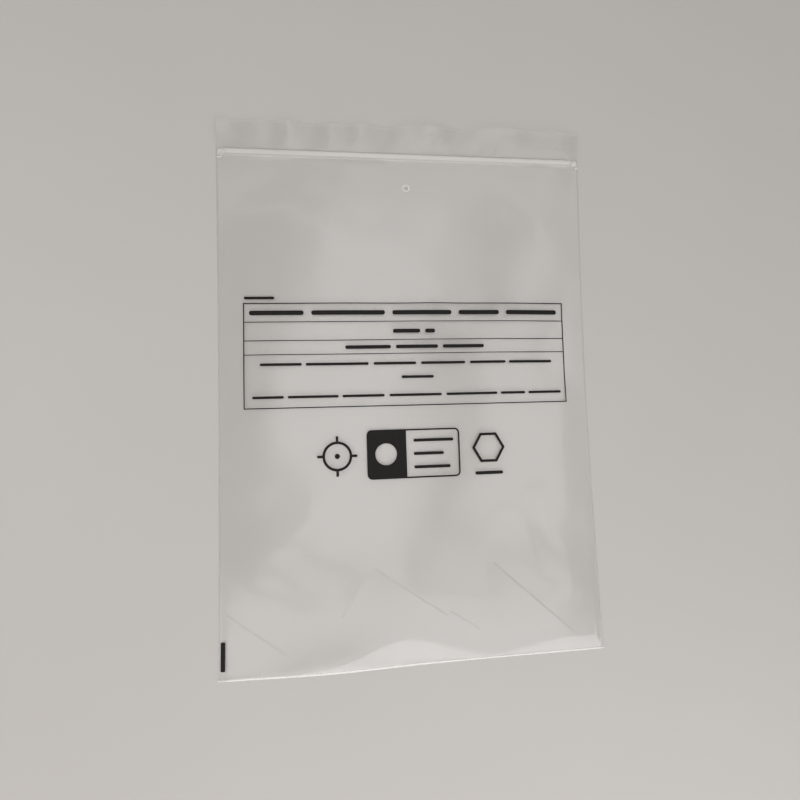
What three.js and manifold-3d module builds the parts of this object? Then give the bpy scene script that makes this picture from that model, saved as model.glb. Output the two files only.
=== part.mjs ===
// Clear film bag with a press-to-close zip, empty and closed, lying flat with its front wall up.
// Millimetres. +X runs across the bag, +Y from the bottom fold to the mouth, +Z away from the table.
// The origin lies on the table under the middle of the bag.
// Inside this file y is counted from the bottom fold.
import * as THREE from "three";
import { mergeVertices } from "three/addons/utils/BufferGeometryUtils.js";
import Module from "manifold-3d";

// Outline and film
const BAG_WIDTH = 300;
const ZIP_LINE = 404; // bottom fold to the middle of the zip
const LIP_HEIGHT = 26; // middle of the zip to the free edge of the back lip
const LIP_STEP = 5; // the front lip is this much shorter than the back lip
const FILM = 0.08; // thickness of one wall
const SIDE_WELD = 1.5; // width of the melted bead along each side
const BOTTOM_FOLD = 1; // height of the pressed fold at the bottom
const WELD_BEAD = 0.1; // melted film that stands between the walls in a weld
const DRAW_IN_LEFT = 1; // how far each side edge draws in half way up
const DRAW_IN_RIGHT = 3.5;

// Vent hole, punched through both walls
const VENT_DIAMETER = 5;
const VENT_DROP = 27; // middle of the zip to the middle of the hole

// Zip profile, drawn across the zip and upwards from the inside of the back wall
const ZIP_CLEARANCE = 0.12; // play between the rib and the channel
const ZIP_SEAT = 0.02; // play between a strip and the wall that carries it
const RIB_BASE_WIDTH = 6;
const RIB_STEM = 0.5; // width of the stem
const RIB_HEAD = 1.2; // width of the barbed head
const RIB_HEAD_HEIGHT = 0.6;
const STRIP_BASE = 0.15; // thickness of the base of each strip
const CHANNEL_BASE_WIDTH = 3.4;
const JAW_WALL = 0.4; // thickness of each side of the channel
const JAW_HOOK = 0.35; // height of the hook that grips behind the head

// Zip ends, crushed flat by the side welds
const CRUSH_LENGTH = 6.5;
const CRUSH_TAPER = 1.5; // length of the ramp from the crushed end to the full profile
const CRUSH_HEIGHT = 0.6;

// Front wall draped over the zip
const ZIP_SHOULDER = 6; // run of the slope on the pouch side
const ZIP_DROP = 2.2; // run of the steeper slope on the lip side

// Air left in the pouch
const PUFF = 1.5; // gap between the walls in the middle of the pouch
const SIDE_SLOPE = 24; // run over which the front wall rises from a side weld
const FOLD_ROLL = 5; // run over which the front wall rises from the bottom fold

// Soft forms of the film. Places along the width and spreads are shares of the half width.
// Places up the front wall are shares of the way from the bottom fold to the zip.

// Where the rise from the bottom fold is longer, as shares of FOLD_ROLL
const FOLD_WAVES = [
  { at: -0.1, spread: 0.16, height: 1.8 },
  { at: 0.97, spread: 0.2, height: 0.8 },
];

// Soft ridges and hollows of the front wall, heights as shares of PUFF
const BILLOWS = [
  { from: [-0.78, 0.21], to: [-0.54, 0.287], spread: 0.08, height: 0.67 },
  { from: [-0.75, 0.208], to: [-0.57, 0.156], spread: 0.087, height: -0.6 },
  { from: [-0.93, 0.173], to: [-0.79, 0.149], spread: 0.087, height: 0.53 },
  { from: [-0.23, 0.032], to: [0.05, 0.03], spread: 0.087, height: 1 },
  { from: [-0.4, 0.238], to: [0.27, 0.238], spread: 0.147, height: -0.4 },
  { from: [0.49, 0.26], to: [0.68, 0.146], spread: 0.08, height: -0.6 },
  { from: [0.75, 0.228], to: [0.85, 0.129], spread: 0.093, height: 0.73 },
  { from: [0.65, 0.317], to: [0.71, 0.317], spread: 0.047, height: -0.47 },
  { from: [-0.49, 0.908], to: [-0.19, 0.856], spread: 0.073, height: -0.53 },
  { from: [-0.11, 0.824], to: [0.13, 0.723], spread: 0.107, height: 0.67 },
  { from: [0.48, 0.933], to: [0.74, 0.874], spread: 0.08, height: 0.53 },
  { from: [-0.82, 0.871], to: [-0.67, 0.899], spread: 0.08, height: 0.47 },
];

// Sharp creases of the front wall, heights as shares of PUFF
const CREASES = [
  { from: [-0.99, 0.126], to: [-0.66, 0.035], spread: 0.06, height: 0.73 },
  { from: [-0.24, 0.191], to: [0.16, 0.087], spread: 0.06, height: 0.67 },
  { from: [0.16, 0.097], to: [0.31, 0.057], spread: 0.053, height: 0.53 },
  { from: [0.4, 0.181], to: [0.84, 0.032], spread: 0.06, height: 0.93 },
  { from: [-0.43, 0.082], to: [-0.29, 0.163], spread: 0.053, height: 0.67 },
];

// Waves of the lips, highest along their free edge, heights as shares of LIP_WAVE
const LIP_WAVE = 7;
const LIP_WAVES = [
  { at: -1, spread: 0.147, height: 0.36 },
  { at: -0.63, spread: 0.133, height: 0.71 },
  { at: 0.15, spread: 0.16, height: 0.79 },
  { at: 0.56, spread: 0.187, height: 1 },
  { at: 1, spread: 0.133, height: 0.36 },
];
const LIP_PARTING = 1.4; // gap between the free edges of the lips
const LIP_GATHER = 34; // length of one gather along the lips

// Curl of the bottom fold
const CURL_HEIGHT = 3.5;
const CURL_REACH = 40; // how far up the back wall the curl goes
const CURL = [{ at: -0.47, spread: 0.4, height: 1 }];

// Grid of the walls: how many facets each stretch is cut into
const MIDDLE_COLUMNS = 36;
const ROLL_TOP = 20;
const ROLL_ROWS = 4;
const CURL_ROWS = 2;
const CREASED_TOP = 130;
const CREASED_ROWS = 11;
const SMOOTH_ROWS = 13;
const SLOPE_ROWS = 3;
const LIP_ROWS = 4;
const VENT_FACETS = 24;
const HEAD_FACETS = 4;

// Sizes worked out from those above
const HALF_WIDTH = BAG_WIDTH / 2;
const BAG_LENGTH = ZIP_LINE + LIP_HEIGHT;
const FRONT_LIP_EDGE = BAG_LENGTH - LIP_STEP;
const HOOK_BOTTOM = STRIP_BASE + ZIP_CLEARANCE;
const HOOK_TOP = HOOK_BOTTOM + JAW_HOOK;
const HEAD_BOTTOM = HOOK_TOP + ZIP_CLEARANCE;
const HEAD_TOP = HEAD_BOTTOM + RIB_HEAD_HEIGHT;
const CHANNEL_ROOF = HEAD_TOP + ZIP_CLEARANCE;
const ZIP_HEIGHT = CHANNEL_ROOF + STRIP_BASE;
const ZIP_GAP = ZIP_HEIGHT + 2 * ZIP_SEAT;
const PLATEAU_LOW = ZIP_LINE - CHANNEL_BASE_WIDTH / 2;
const PLATEAU_HIGH = ZIP_LINE + CHANNEL_BASE_WIDTH / 2;
const LIP_FOOT = PLATEAU_HIGH + ZIP_DROP;
const WELD_LINE = HALF_WIDTH - SIDE_WELD;
const CUT_MARGIN = 2; // how far a cutting body stands out of what it cuts

const wasm = await Module();
wasm.setup();

const filmFinish = new THREE.MeshStandardMaterial({
  color: 0xdcdad6,
  roughness: 0.25,
  metalness: 0,
  transparent: true,
  opacity: 0.35,
});
const zipFinish = new THREE.MeshStandardMaterial({
  color: 0xe6e4e0,
  roughness: 0.35,
  metalness: 0,
  transparent: true,
  opacity: 0.6,
});

// Eases from 0 to 1 as t goes from 0 to 1
function ease(t) {
  return THREE.MathUtils.smoothstep(t, 0, 1);
}

// Height at x of a row of rounded waves
function waves(list, x) {
  const across = x / HALF_WIDTH;
  return list.reduce((sum, w) => sum + w.height * Math.exp(-(((across - w.at) / w.spread) ** 2)), 0);
}

// A place on the front wall in millimetres
function place([across, up]) {
  return new THREE.Vector2(across * HALF_WIDTH, up * ZIP_LINE);
}

// Distance from the point x, y to the middle line of a ridge, in spreads of that ridge
function reach(x, y, { from, to, spread }) {
  const start = place(from);
  const along = place(to).sub(start);
  const point = new THREE.Vector2(x, y).sub(start);
  const share = THREE.MathUtils.clamp(point.dot(along) / along.lengthSq(), 0, 1);
  return point.distanceTo(along.multiplyScalar(share)) / (spread * HALF_WIDTH);
}

function billow(x, y, ridge) {
  return ridge.height * Math.exp(-(reach(x, y, ridge) ** 2));
}

function crease(x, y, ridge) {
  return ridge.height * Math.max(0, 1 - reach(x, y, ridge));
}

// Share of the full zip height that is left at x
function uncrushed(x) {
  const ramp = (HALF_WIDTH - CRUSH_LENGTH - Math.abs(x)) / CRUSH_TAPER;
  return THREE.MathUtils.lerp(CRUSH_HEIGHT / ZIP_HEIGHT, 1, THREE.MathUtils.clamp(ramp, 0, 1));
}

// Share of its full height that the front wall has reached at x, going in from the nearer side weld
function sideRise(x) {
  return ease((WELD_LINE - Math.abs(x)) / SIDE_SLOPE);
}

// Gap between the walls of the pouch
function pouchGap(x, y) {
  const pillow = 1 - (x / HALF_WIDTH) ** 4;
  const soft = BILLOWS.reduce((sum, ridge) => sum + billow(x, y, ridge), 0);
  const sharp = CREASES.reduce((sum, ridge) => sum + crease(x, y, ridge), 0);
  const foldRise = ease((y - BOTTOM_FOLD) / (FOLD_ROLL * (1 + waves(FOLD_WAVES, x))));
  return WELD_BEAD + sideRise(x) * foldRise * PUFF * Math.max(0, pillow + soft + sharp);
}

// How far up the lips y is, from 0 at the foot of the zip to 1 at the free edge
function lipShare(y) {
  return THREE.MathUtils.clamp((y - LIP_FOOT) / (BAG_LENGTH - LIP_FOOT), 0, 1);
}

// Gap between the two lips, gathered along the zip
function lipGap(x, y) {
  const gather = 1 + Math.cos((2 * Math.PI * x) / LIP_GATHER) / 2;
  return WELD_BEAD + sideRise(x) * gather * LIP_PARTING * lipShare(y);
}

// Gap between the insides of the two walls
function gap(x, y) {
  const low = (y - PLATEAU_LOW + ZIP_SHOULDER) / ZIP_SHOULDER;
  const high = (LIP_FOOT - y) / ZIP_DROP;
  const onZip = ease(Math.min(low, high));
  const besides = y < ZIP_LINE ? pouchGap(x, y) : lipGap(x, y);
  return THREE.MathUtils.lerp(besides, ZIP_GAP * uncrushed(x), onZip);
}

// Outside of the back wall: flat on the table, lifted by the waves of the lips and the curl of the fold
function backOutside(x, y) {
  const lip = LIP_WAVE * waves(LIP_WAVES, x) * lipShare(y) ** 2;
  const curl = CURL_HEIGHT * waves(CURL, x) * Math.max(0, 1 - y / CURL_REACH) ** 2;
  return lip + curl;
}

function backInside(x, y) {
  return backOutside(x, y) + FILM;
}

function frontInside(x, y) {
  return backInside(x, y) + gap(x, y);
}

function frontOutside(x, y) {
  return frontInside(x, y) + FILM;
}

// Half way through each wall, where a weld ends in it
function backMiddle(x, y) {
  return backOutside(x, y) + FILM / 2;
}

function frontMiddle(x, y) {
  return frontInside(x, y) + FILM / 2;
}

// The side edges draw in between the bottom fold and the zip
function drawnIn(x, y) {
  const bow = Math.sin(Math.PI * THREE.MathUtils.clamp(y / PLATEAU_LOW, 0, 1));
  const most = x > 0 ? DRAW_IN_RIGHT : DRAW_IN_LEFT;
  return x - Math.sign(x) * most * bow * Math.abs(x / HALF_WIDTH) ** 3;
}

// Grid lines from start through stretches of [end, number of facets]
function gridLines(start, ...stretches) {
  const lines = [start];
  for (const [end, count] of stretches) {
    const first = lines.at(-1);
    for (let i = 1; i <= count; i += 1) {
      lines.push(first + ((end - first) * i) / count);
    }
  }
  return lines;
}

// Closed geometry to a solid that can be cut and joined
function solidOf(geometry) {
  geometry.deleteAttribute("normal");
  geometry.deleteAttribute("uv");
  const merged = mergeVertices(geometry);
  const mesh = new wasm.Mesh({
    numProp: 3,
    vertProperties: new Float32Array(merged.attributes.position.array),
    triVerts: new Uint32Array(merged.index.array),
  });
  return new wasm.Manifold(mesh);
}

function geometryOf(solid) {
  const { vertProperties, triVerts } = solid.getMesh();
  const geometry = new THREE.BufferGeometry();
  geometry.setAttribute("position", new THREE.BufferAttribute(vertProperties, 3));
  geometry.setIndex(new THREE.BufferAttribute(triVerts, 1));
  geometry.computeVertexNormals();
  return geometry;
}

// A box splits the quads of its lower side along the other diagonal. This turns them to match the upper
// side, so that the two sides of a twisted wall stay parallel.
function alignLowerSplits(box) {
  const { start, count } = box.groups.at(-1);
  const { array } = box.index;
  for (let i = start; i < start + count; i += 6) {
    const [a, b, d, , c] = array.slice(i, i + 6);
    array.set([a, b, c, a, c, d], i);
  }
}

// Slab on a grid of columns and rows, filled from a lower to an upper surface
function slab(columns, rows, lower, upper) {
  const across = columns.length - 1;
  const up = rows.length - 1;
  const box = new THREE.BoxGeometry(1, 1, 1, across, up, 1);
  const corners = box.attributes.position;
  for (let i = 0; i < corners.count; i += 1) {
    const x = columns[Math.round((corners.getX(i) + 0.5) * across)];
    const y = rows[Math.round((corners.getY(i) + 0.5) * up)];
    const surface = corners.getZ(i) > 0 ? upper : lower;
    corners.setXYZ(i, drawnIn(x, y), y, surface(x, y));
  }
  alignLowerSplits(box);
  return solidOf(box);
}

// Column lines from edge to edge, with lines at the welds and at each end of the crushed stretches
function filmColumns() {
  const crush = HALF_WIDTH - CRUSH_LENGTH;
  const full = crush - CRUSH_TAPER;
  return gridLines(
    -HALF_WIDTH,
    [-WELD_LINE, 1],
    [-crush, 1],
    [-full, 1],
    [full, MIDDLE_COLUMNS],
    [crush, 1],
    [WELD_LINE, 1],
    [HALF_WIDTH, 1],
  );
}

// Film pouch: both walls, the welds, the fold and the lips, open at the mouth and at the vent
function bagFilm() {
  const columns = filmColumns();
  const edgeColumns = [-HALF_WIDTH, -WELD_LINE, WELD_LINE, HALF_WIDTH];
  const foldRows = [0, BOTTOM_FOLD];
  const curlRows = gridLines(BOTTOM_FOLD, [ROLL_TOP, ROLL_ROWS], [CURL_REACH, CURL_ROWS]);
  const flatRows = gridLines(
    CURL_REACH,
    [CREASED_TOP, CREASED_ROWS],
    [PLATEAU_LOW - ZIP_SHOULDER, SMOOTH_ROWS],
    [PLATEAU_LOW, SLOPE_ROWS],
    [PLATEAU_HIGH, 1],
    [LIP_FOOT, SLOPE_ROWS],
  );
  const lipRows = gridLines(LIP_FOOT, [FRONT_LIP_EDGE, LIP_ROWS]);
  const frontRows = [...foldRows, ...curlRows.slice(1), ...flatRows.slice(1), ...lipRows.slice(1)];

  const front = slab(columns, frontRows, frontInside, frontOutside);
  const backCurl = slab(columns, [0, ...curlRows], backOutside, backInside);
  const backFlat = slab(edgeColumns, flatRows, backOutside, backInside);
  const backLip = slab(columns, [...lipRows, BAG_LENGTH], backOutside, backInside);
  const fold = slab(columns, foldRows, backMiddle, frontMiddle);
  const leftWeld = slab([-HALF_WIDTH, -WELD_LINE], frontRows, backMiddle, frontMiddle);
  const rightWeld = slab([WELD_LINE, HALF_WIDTH], frontRows, backMiddle, frontMiddle);
  const walls = [backCurl, backFlat, backLip, fold, leftWeld, rightWeld];
  const pouch = walls.reduce((joined, wall) => joined.add(wall), front);
  return geometryOf(pouch.subtract(ventPunch()));
}

// Round punch that goes through both walls
function ventPunch() {
  const y = ZIP_LINE - VENT_DROP;
  const height = frontOutside(0, y) + 2 * CUT_MARGIN;
  const punch = new THREE.CylinderGeometry(VENT_DIAMETER / 2, VENT_DIAMETER / 2, height, VENT_FACETS);
  punch.rotateX(Math.PI / 2);
  punch.translate(0, y, height / 2 - CUT_MARGIN);
  return solidOf(punch);
}

// Male profile: a base on the back wall, a stem and a rounded head that overhangs it
function ribProfile() {
  const profile = new THREE.Shape();
  profile.moveTo(-RIB_BASE_WIDTH / 2, 0);
  profile.lineTo(RIB_BASE_WIDTH / 2, 0);
  profile.lineTo(RIB_BASE_WIDTH / 2, STRIP_BASE);
  profile.lineTo(RIB_STEM / 2, STRIP_BASE);
  profile.lineTo(RIB_STEM / 2, HEAD_BOTTOM);
  profile.lineTo(RIB_HEAD / 2, HEAD_BOTTOM);
  profile.quadraticCurveTo(RIB_HEAD / 2, HEAD_TOP, 0, HEAD_TOP);
  profile.quadraticCurveTo(-RIB_HEAD / 2, HEAD_TOP, -RIB_HEAD / 2, HEAD_BOTTOM);
  profile.lineTo(-RIB_STEM / 2, HEAD_BOTTOM);
  profile.lineTo(-RIB_STEM / 2, STRIP_BASE);
  profile.lineTo(-RIB_BASE_WIDTH / 2, STRIP_BASE);
  return profile;
}

// Female profile: a base under the front wall and two jaws that hook behind the head
function channelProfile() {
  const bore = RIB_HEAD / 2 + ZIP_CLEARANCE;
  const mouth = RIB_STEM / 2 + ZIP_CLEARANCE;
  const jaw = bore + JAW_WALL;
  const profile = new THREE.Shape();
  profile.moveTo(-CHANNEL_BASE_WIDTH / 2, CHANNEL_ROOF);
  profile.lineTo(-jaw, CHANNEL_ROOF);
  profile.lineTo(-jaw, HOOK_TOP);
  profile.lineTo(-mouth, HOOK_BOTTOM);
  profile.lineTo(-mouth, HOOK_TOP);
  profile.lineTo(-bore, HOOK_TOP);
  profile.lineTo(-bore, CHANNEL_ROOF);
  profile.lineTo(bore, CHANNEL_ROOF);
  profile.lineTo(bore, HOOK_TOP);
  profile.lineTo(mouth, HOOK_TOP);
  profile.lineTo(mouth, HOOK_BOTTOM);
  profile.lineTo(jaw, HOOK_TOP);
  profile.lineTo(jaw, CHANNEL_ROOF);
  profile.lineTo(CHANNEL_BASE_WIDTH / 2, CHANNEL_ROOF);
  profile.lineTo(CHANNEL_BASE_WIDTH / 2, ZIP_HEIGHT);
  profile.lineTo(-CHANNEL_BASE_WIDTH / 2, ZIP_HEIGHT);
  return profile;
}

// Zip strip: a profile run from weld to weld, its ends pressed down with the crushed film
function zipStrip(profile) {
  const end = WELD_LINE - ZIP_SEAT;
  const crush = HALF_WIDTH - CRUSH_LENGTH;
  const full = crush - CRUSH_TAPER;
  const lines = gridLines(-end, [-crush, 1], [-full, 1], [full, 1], [crush, 1], [end, 1]);
  const steps = lines.length - 1;
  const strip = new THREE.ExtrudeGeometry(profile, {
    depth: 1,
    steps,
    bevelEnabled: false,
    curveSegments: HEAD_FACETS,
  });
  const corners = strip.attributes.position;
  for (let i = 0; i < corners.count; i += 1) {
    const x = lines[Math.round(corners.getZ(i) * steps)];
    const y = ZIP_LINE + corners.getX(i);
    const z = FILM + (ZIP_SEAT + corners.getY(i)) * uncrushed(x);
    corners.setXYZ(i, x, y, z);
  }
  return geometryOf(solidOf(strip));
}

function piece(name, geometry, finish) {
  const mesh = new THREE.Mesh(geometry, finish);
  mesh.name = name;
  return mesh;
}

const bag = new THREE.Group();
bag.position.y = -BAG_LENGTH / 2;
bag.add(piece("bag_film", bagFilm(), filmFinish));
bag.add(piece("zip_channel", zipStrip(channelProfile()), zipFinish));
bag.add(piece("zip_rib", zipStrip(ribProfile()), zipFinish));

export default bag;
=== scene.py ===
"""Looks of a clear film bag with a press-to-close zip, lying flat and closed on a pale table.

Lengths in this file are millimetres. On the bag, x is counted from its middle line and y from its
bottom fold. They become metres in the part's own frame when a mesh, a lamp or the camera is made.
"""

import logging
import math
from collections.abc import Iterable, Sequence
from dataclasses import dataclass
from enum import Enum

import bmesh
import bpy
import numpy as np
from mathutils import Matrix, Vector
from mathutils.geometry import tessellate_polygon


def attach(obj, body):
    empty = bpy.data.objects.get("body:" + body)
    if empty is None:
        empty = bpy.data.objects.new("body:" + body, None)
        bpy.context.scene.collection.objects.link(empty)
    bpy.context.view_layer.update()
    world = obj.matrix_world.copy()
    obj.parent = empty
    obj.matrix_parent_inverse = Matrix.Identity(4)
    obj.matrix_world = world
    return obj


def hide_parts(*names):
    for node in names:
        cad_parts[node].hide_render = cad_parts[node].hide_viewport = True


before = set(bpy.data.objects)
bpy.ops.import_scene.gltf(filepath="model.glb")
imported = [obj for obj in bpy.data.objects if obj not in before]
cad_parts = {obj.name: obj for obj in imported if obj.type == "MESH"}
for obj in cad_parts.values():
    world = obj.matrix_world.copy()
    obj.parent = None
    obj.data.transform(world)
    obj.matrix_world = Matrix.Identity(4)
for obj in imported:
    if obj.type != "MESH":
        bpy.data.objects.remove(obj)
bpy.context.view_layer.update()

LOG = logging.getLogger("film_bag")
MM = 0.001
BODY = "root"
CLOUD_DETAIL = 4.0
CLOUD_ROUGHNESS = 0.55
LINE_DETAIL = 3.0
CEILING = 1100

Point = tuple[float, float]
Place = tuple[float, float, float]
Colour = tuple[float, float, float]
Loop = list[Point]


def ease(t: np.ndarray) -> np.ndarray:
    """Smooth step from 0 to 1 as t goes from 0 to 1."""
    t = np.clip(t, 0, 1)
    return t * t * (3 - 2 * t)


def bent(t: np.ndarray) -> np.ndarray:
    """Rise at an even slope of 1 that bends to level as t nears 1."""
    t = np.clip(t, 0, 1)
    return t - t**4 / 4


@dataclass(frozen=True)
class Wave:
    """Rounded wave along the width of the bag: where it is, how far it spreads and how high it stands."""

    at: float
    spread: float
    height: float

    def height_at(self, x: np.ndarray) -> np.ndarray:
        """Height of the wave at x."""
        return self.height * np.exp(-(((x - self.at) / self.spread) ** 2))


def wave_height(waves: Iterable[Wave], x: np.ndarray) -> np.ndarray:
    """Height of several waves together at x."""
    return sum(wave.height_at(x) for wave in waves)


class Part(Enum):
    """Part of the film, by the place of its finish on the shell. The finishes of the edges, creases, step
    and lips hold painted shade, and that of the fold is partly a painted highlight.
    """

    CLEAR = 0
    # Welds and cut edges; their finish is darker, painted shade along the edges.
    EDGE = 1
    # Bottom fold; its near-white finish is partly whitened film and partly a painted highlight.
    FOLD = 2
    # Short drop beside each crease crest; its darker finish is painted shade.
    CREASE = 3
    # Lips above the zip; their darker finish is painted shade.
    LIP = 4
    # Drop from the zip up to the front lip; its near-black finish is painted shade.
    STEP = 5


class Profile(Enum):
    """Cross-section of a ridge in the film."""

    SOFT = "rounded on both sides"
    SHARP = "a crest with a long slope on its right and a short drop on its left"


@dataclass(frozen=True)
class Ridge:
    """Straight ridge, or hollow where its height is negative, in the front wall.

    Left and right are those of someone who walks from the start to the end.
    """

    start: Point
    end: Point
    spread: float
    height: float
    profile: Profile = Profile.SOFT
    drop: float = 1.6
    fade: float = 14.0

    @property
    def length(self) -> float:
        """Length of the ridge."""
        return math.dist(self.start, self.end)

    @property
    def heading(self) -> Point:
        """Direction of the ridge, of length 1."""
        return (
            (self.end[0] - self.start[0]) / self.length,
            (self.end[1] - self.start[1]) / self.length,
        )

    def along_and_left(self, x: np.ndarray, y: np.ndarray) -> tuple[np.ndarray, np.ndarray]:
        """Place of points in the ridge's own directions.

        Args:
            x: Places across the bag.
            y: Places up the bag.

        Returns:
            Distances along the ridge from its start, and to the left of it.
        """
        ahead_x, ahead_y = self.heading
        from_x, from_y = x - self.start[0], y - self.start[1]
        return from_x * ahead_x + from_y * ahead_y, from_y * ahead_x - from_x * ahead_y

    def on_drop(self, x: float, y: float) -> bool:
        """Whether a place lies on the short drop beside the crest."""
        along, left = self.along_and_left(x, y)
        return 0 < left < self.drop and self.fade / 2 < along < self.length - self.fade / 2

    def height_at(self, x: np.ndarray, y: np.ndarray) -> np.ndarray:
        """Height that the ridge adds.

        Args:
            x: Places across the bag.
            y: Places up the bag.

        Returns:
            Heights, in the order of the places.
        """
        along, left = self.along_and_left(x, y)
        past_ends = along - np.clip(along, 0, self.length)
        away = np.hypot(past_ends, left)
        if self.profile is Profile.SOFT:
            return self.height * np.exp(-((away / self.spread) ** 2))
        reach = np.where(left > 0, self.drop, self.spread)
        ends = ease(np.minimum(along, self.length - along) / self.fade)
        return self.height * ends * np.maximum(0, 1 - away / reach)


@dataclass(frozen=True)
class Ripple:
    """Long low wave in the front wall: its length, its direction, its height and how far it is shifted."""

    length: float
    degrees: float
    height: float
    shift: float = 0

    def height_at(self, x: np.ndarray, y: np.ndarray) -> np.ndarray:
        """Height that the wave adds.

        Args:
            x: Places across the bag.
            y: Places up the bag.

        Returns:
            Heights, in the order of the places.
        """
        turn = math.radians(self.degrees)
        along = x * math.cos(turn) + y * math.sin(turn) + self.shift
        return self.height * np.sin(2 * math.pi * along / self.length)


@dataclass(frozen=True)
class FilmForm:
    """Form of the closed bag as it lies: two walls with a little air between them, draped over the zip."""

    width: float = 300
    zip_line: float = 404
    lip_height: float = 26
    lip_step: float = 3
    film: float = 0.08
    side_weld: float = 1.5
    bottom_fold: float = 1
    weld_bead: float = 0.1
    draw_in_left: float = 1
    draw_in_right: float = 3.5
    draw_in_power: int = 3
    zip_height: float = 1.61
    zip_gap: float = 1.65
    zip_width: float = 3.4
    zip_shoulder: float = 6
    zip_drop: float = 1.8
    zip_slack: float = 17
    slack_share: float = 0.3
    slack_waves: tuple[Wave, ...] = (Wave(-150, 50, 0.35),)
    crush_length: float = 3
    crush_taper: float = 5
    crush_height: float = 0.6
    puff: float = 1.5
    puff_power: int = 4
    side_slope: float = 24
    air_reach: float = 55
    roll_slope: float = 0.17
    roll_heights: tuple[Point, ...] = (
        (-150, 4), (-96, 4), (-70, 7), (-46, 15), (-22, 27), (-8, 27), (18, 15), (46, 5), (70, 4), (88, 8),
        (112, 13), (150, 14)
    )
    roll_crown: float = 30
    roll_settle: float = 120
    roll_rounding: float = 9
    roll_samples: int = 13
    roll_end: float = 6
    lip_parting: float = 0.5
    lip_gather: float = 34
    curl_reach: float = 40
    pucker_height: float = 0.3
    pucker_length: float = 27
    pucker_stretch: float = 1.7
    pucker_reach: float = 34
    ripples: tuple[Ripple, ...] = (
        Ripple(150, 35, 0.6),
        Ripple(118, 110, 0.5, 30),
        Ripple(86, 160, 0.3, 10),
        Ripple(61, 70, 0.16, 20),
    )
    lip_waves: tuple[Wave, ...] = (
        Wave(-150, 12, 3.8),
        Wave(-119, 14, 3.2),
        Wave(-93, 10, 5.2),
        Wave(-60, 8, 3.6),
        Wave(-36, 11, 4.8),
        Wave(-2, 9, 2.2),
        Wave(22, 17, 7),
        Wave(62, 9, 1.8),
        Wave(85, 22, 7),
        Wave(132, 26, 4.2),
    )
    curl: tuple[Wave, ...] = (Wave(-70, 60, 3.5),)
    billows: tuple[Ridge, ...] = (
        Ridge((-117, 85), (-81, 116), 12, 1),
        Ridge((-112, 84), (-86, 63), 13, -0.9),
        Ridge((-140, 70), (-118, 60), 13, 0.8),
        Ridge((-34, 13), (8, 12), 13, 0.8),
        Ridge((-60, 96), (40, 96), 22, -0.6),
        Ridge((74, 105), (102, 59), 12, -0.9),
        Ridge((112, 92), (128, 52), 14, 1.1),
        Ridge((98, 128), (106, 128), 7, -0.7),
        Ridge((-73, 367), (-29, 346), 11, -0.8),
        Ridge((-62, 345), (-52, 290), 30, 1.9),
        Ridge((-16, 333), (20, 292), 16, 1),
        Ridge((72, 377), (111, 353), 12, 0.8),
        Ridge((-123, 352), (-100, 363), 12, 0.7),
        Ridge((-40, 72), (-48, 52), 5, 0.5),
        Ridge((-88, 30), (-106, 5), 3, 0.25),
        Ridge((-66, 36), (-84, 6), 3, 0.25),
    )
    creases: tuple[Ridge, ...] = (
        Ridge((-153, 53.5), (-96, 11.5), 11, 0.75, Profile.SHARP, fade=9),
        Ridge((-39, 79), (26, 33), 12, 0.45, Profile.SHARP, fade=10),
        Ridge((21, 41), (51, 20.5), 9, 0.5, Profile.SHARP, fade=9),
        Ridge((57, 76), (129, 11), 13, 0.8, Profile.SHARP, fade=10),
        Ridge((-46, 64), (-63, 36), 9, 0.6, Profile.SHARP, 2.6, 10),
    )

    @property
    def half_width(self) -> float:
        """Distance from the middle line to a side edge."""
        return self.width / 2

    @property
    def length(self) -> float:
        """Distance from the bottom fold to the free edge of the back lip."""
        return self.zip_line + self.lip_height

    @property
    def front_edge(self) -> float:
        """Place of the free edge of the front lip."""
        return self.length - self.lip_step

    @property
    def weld_line(self) -> float:
        """Distance from the middle line to the inner edge of a side weld."""
        return self.half_width - self.side_weld

    @property
    def plateau(self) -> tuple[float, float]:
        """Lower and upper edge of the film that lies on the zip."""
        return self.zip_line - self.zip_width / 2, self.zip_line + self.zip_width / 2

    @property
    def lip_foot(self) -> float:
        """Place where the lips start above the zip."""
        return self.plateau[1] + self.zip_drop

    def uncrushed(self, x: np.ndarray) -> np.ndarray:
        """Share of the full zip height that is left where the side welds crush the zip.

        Args:
            x: Places across the bag.

        Returns:
            Shares, in the order of the places.
        """
        ramp = np.clip((self.half_width - self.crush_length - np.abs(x)) / self.crush_taper, 0, 1)
        least = self.crush_height / self.zip_height
        return least + (1 - least) * ramp

    def side_rise(self, x: np.ndarray) -> np.ndarray:
        """Share of its full height that the front wall has at x, going in from the nearer side weld."""
        return ease((self.weld_line - np.abs(x)) / self.side_slope)

    def lip_share(self, y: np.ndarray) -> np.ndarray:
        """How far up the lips y is, from 0 at their foot to 1 at the free edge."""
        return np.clip((y - self.lip_foot) / (self.length - self.lip_foot), 0, 1)

    def puckers(self, x: np.ndarray, y: np.ndarray) -> np.ndarray:
        """Short upright ripples that the stiff zip leaves in the wall below it.

        Args:
            x: Places across the bag.
            y: Places up the bag.

        Returns:
            Heights, in the order of the places.
        """
        below = np.maximum(0, self.plateau[0] - y) / self.pucker_reach
        lengths = (self.pucker_length, self.pucker_stretch * self.pucker_length)
        ripple = sum(np.sin(2 * math.pi * x / length) for length in lengths)
        return self.pucker_height / 2 * ripple * np.exp(-below)

    def pouch_gap(self, x: np.ndarray, y: np.ndarray) -> np.ndarray:
        """Gap between the walls of the pouch.

        Args:
            x: Places across the bag.
            y: Places up the bag.

        Returns:
            Gaps, in the order of the places.
        """
        pillow = self.puff * (1 - (x / self.half_width) ** self.puff_power)
        forms = sum(form.height_at(x, y) for form in self.billows + self.creases + self.ripples)
        full = np.maximum(0, pillow + forms + self.puckers(x, y))
        air = self.side_rise(x) * ease(y / self.air_reach) * full
        return self.weld_bead + self.rolled_fold(x, y) + air

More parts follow.
